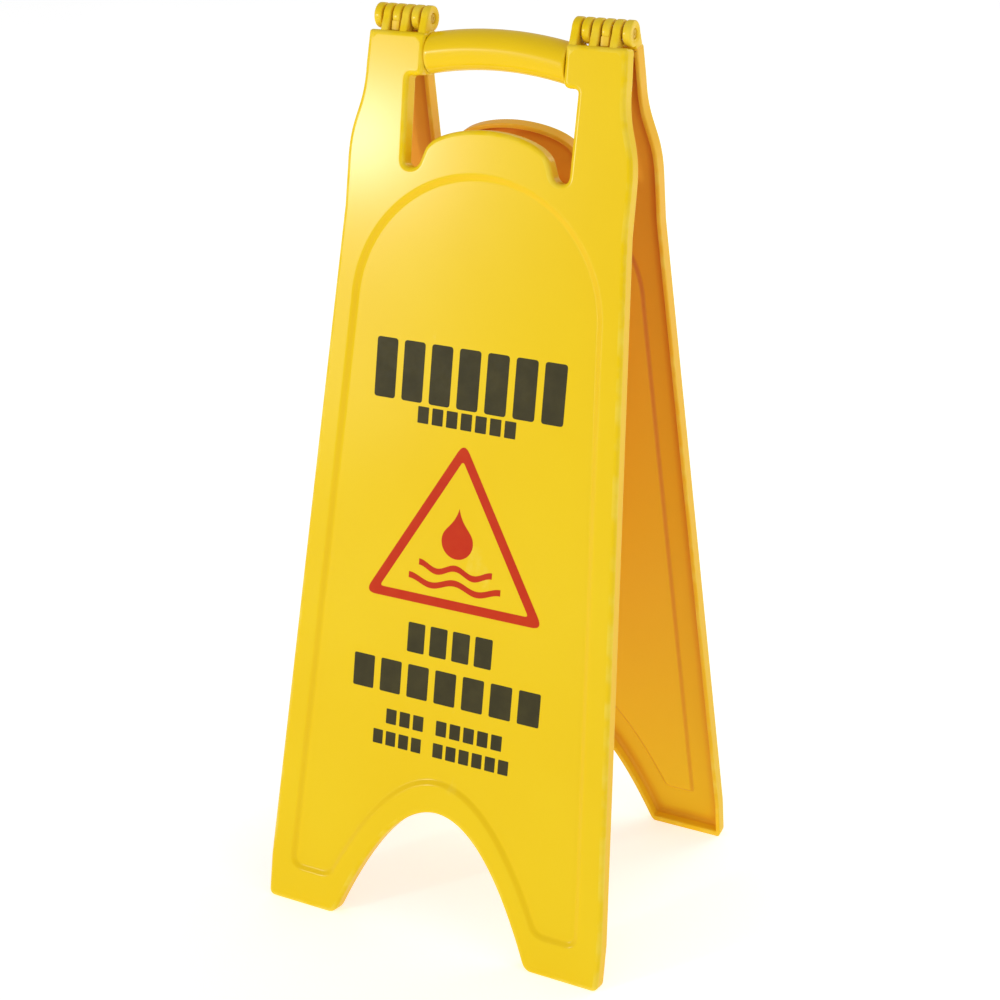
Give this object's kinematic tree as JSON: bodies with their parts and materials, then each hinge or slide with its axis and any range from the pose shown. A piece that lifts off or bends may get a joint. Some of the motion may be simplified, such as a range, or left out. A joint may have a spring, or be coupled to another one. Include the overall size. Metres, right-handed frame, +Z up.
{
  "type": "folding floor warning sign",
  "caption": "Two-panel folding A-frame floor sign in moulded plastic, with comb hinges, recessed notice fields, leg arches and a round carrying grip.",
  "frame": {"origin": "on the floor, midway between the four feet of the open sign", "axes": "+X along the hinge axis, to the right of someone facing the front panel; +Y from the front panel to the rear panel; +Z up"},
  "size_m": [0.2552, 0.2302, 0.6071],
  "materials": {
    "panel_plastic": "yellow injection-moulded polypropylene, satin with a soft sheen",
    "grip_plastic": "yellow polypropylene, polished by handling",
    "pin_plastic": "yellow nylon",
    "screw_steel": "zinc-plated steel",
    "ink_dark": "screen-printed near-black ink",
    "ink_red": "screen-printed red ink"
  },
  "bodies": {
    "front": {"front_panel": "panel_plastic", "handle_front_shell": "grip_plastic", "handle_rear_shell": "grip_plastic", "handle_screw_left": "screw_steel", "handle_screw_right": "screw_steel", "hinge_pin_left": "pin_plastic", "hinge_pin_right": "pin_plastic"},
    "rear": {"rear_panel": "panel_plastic"}
  },
  "joints": [
    {"name": "panel_fold", "type": "hinge", "parent": "front", "child": "rear", "pos_m": [0, 0, 0.59916], "axis": [1, 0, 0], "range_deg": [-19.5, 0]}
  ]
}
